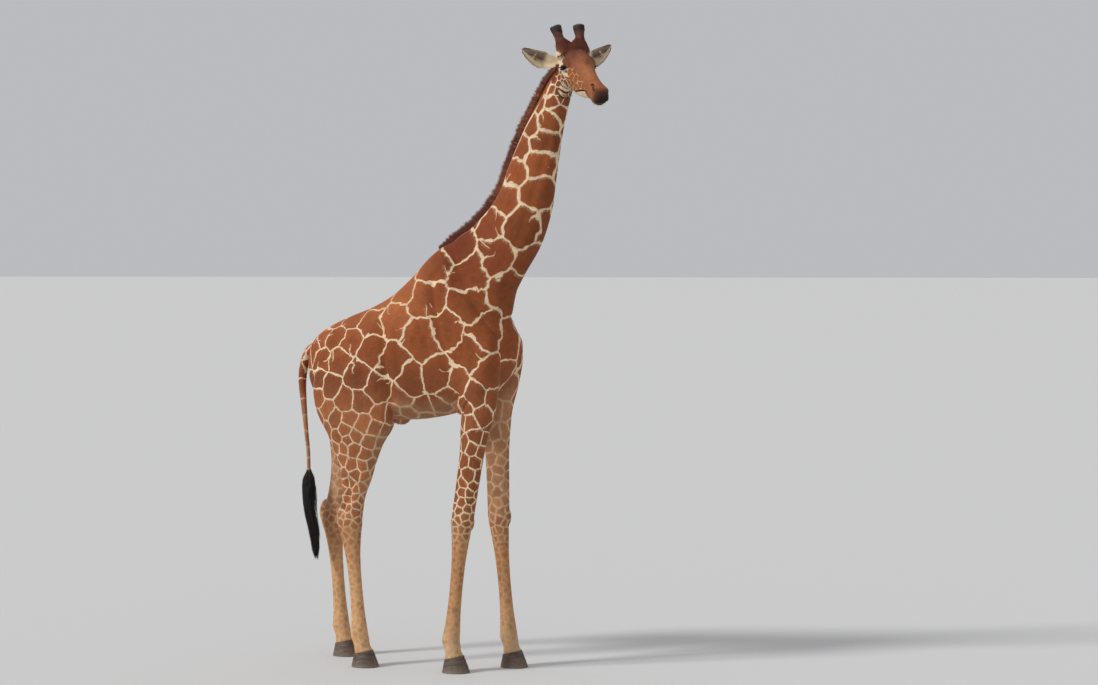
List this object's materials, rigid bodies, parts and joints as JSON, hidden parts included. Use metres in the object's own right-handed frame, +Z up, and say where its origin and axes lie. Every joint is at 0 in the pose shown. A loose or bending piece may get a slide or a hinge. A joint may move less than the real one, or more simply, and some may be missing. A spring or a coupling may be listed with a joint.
{
  "type": "giraffe model",
  "caption": "Life-size still model of a standing reticulated giraffe with its head turned to its right, for display.",
  "frame": {"origin": "middle of the animal's box in plan, on the ground that its hooves stand on", "axes": "+X the way the body faces, +Y toward the animal's left, +Z up"},
  "size_m": [2.5698, 0.6896, 4.4397],
  "materials": {
    "patched_coat": "short glossy hair in red-brown patches parted by cream lines",
    "face": "short hair, red-brown down the nose with cream cheeks and small brown spots",
    "ear_and_jaw": "short cream hair with brown marks",
    "lower_leg": "short buff hair that pales to cream above the hoof, with faint spots",
    "mane_hair": "stiff upright dark red-brown hair",
    "tuft_hair": "long coarse black hair",
    "ossicone_hair": "dark red-brown hair with black tips",
    "hoof_horn": "dull dark brown horn, scuffed",
    "eye": "wet glossy near-black"
  },
  "bodies": {
    "root": {"ear_left": "ear_and_jaw", "ear_right": "ear_and_jaw", "eye_left": "eye", "eye_right": "eye", "fore_left_hoof_inner": "hoof_horn", "fore_left_hoof_outer": "hoof_horn", "fore_left_lower": "lower_leg", "fore_left_upper": "patched_coat", "fore_right_hoof_inner": "hoof_horn", "fore_right_hoof_outer": "hoof_horn", "fore_right_lower": "lower_leg", "fore_right_upper": "patched_coat", "head": "face", "hind_left_hoof_inner": "hoof_horn", "hind_left_hoof_outer": "hoof_horn", "hind_left_lower": "lower_leg", "hind_left_upper": "patched_coat", "hind_right_hoof_inner": "hoof_horn", "hind_right_hoof_outer": "hoof_horn", "hind_right_lower": "lower_leg", "hind_right_upper": "patched_coat", "jaw": "ear_and_jaw", "mane": "mane_hair", "neck": "patched_coat", "ossicone_left": "ossicone_hair", "ossicone_right": "ossicone_hair", "tail": "patched_coat", "tail_tuft": "tuft_hair", "trunk": "patched_coat"}
  },
  "joints": []
}
